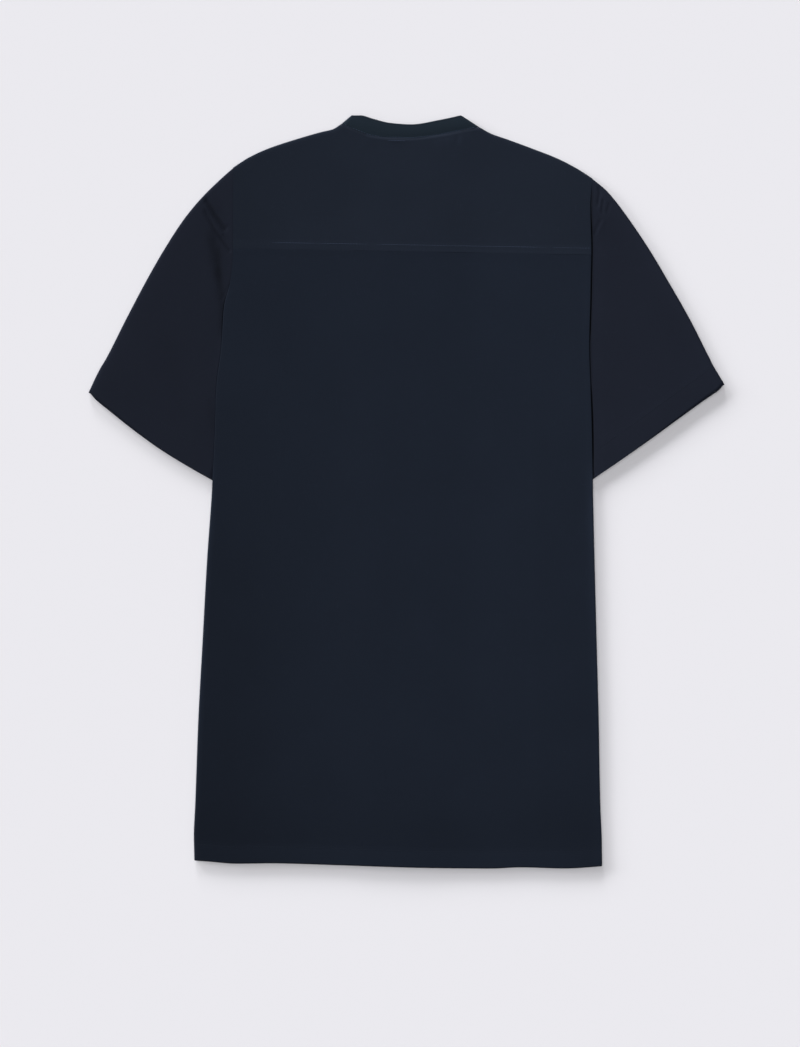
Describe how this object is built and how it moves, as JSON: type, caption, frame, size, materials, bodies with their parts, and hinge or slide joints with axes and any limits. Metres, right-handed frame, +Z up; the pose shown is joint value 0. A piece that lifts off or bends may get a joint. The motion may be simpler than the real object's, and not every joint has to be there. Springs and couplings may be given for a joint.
{
  "type": "mandarin collar shirt",
  "caption": "Short-sleeved shirt with a mandarin collar and a back yoke, laid flat on its buttoned front with both sides turned under",
  "frame": {"origin": "bottom centre of the bounding box: on the surface that the shirt lies on, in the middle of its width and its length", "axes": "+X across the width, to the right of someone who looks down at the shirt's back; +Y from the hem to the collar; +Z up from the surface, with the back of the shirt on top"},
  "size_m": [0.6595, 0.7797, 0.006],
  "materials": {
    "shirting": "plain-woven dark navy cotton, matt with a faint slub",
    "collar": "the same cloth, double and stiffened",
    "button": "dark navy polyester, satin"
  },
  "bodies": {
    "root": {"back": "shirting", "yoke": "shirting", "front_left": "shirting", "front_right": "shirting", "placket": "shirting", "sleeve_left": "shirting", "sleeve_right": "shirting", "collar_band": "collar", "button_1": "button", "button_2": "button", "button_3": "button", "button_4": "button", "button_5": "button", "button_6": "button", "button_7": "button"}
  },
  "joints": []
}
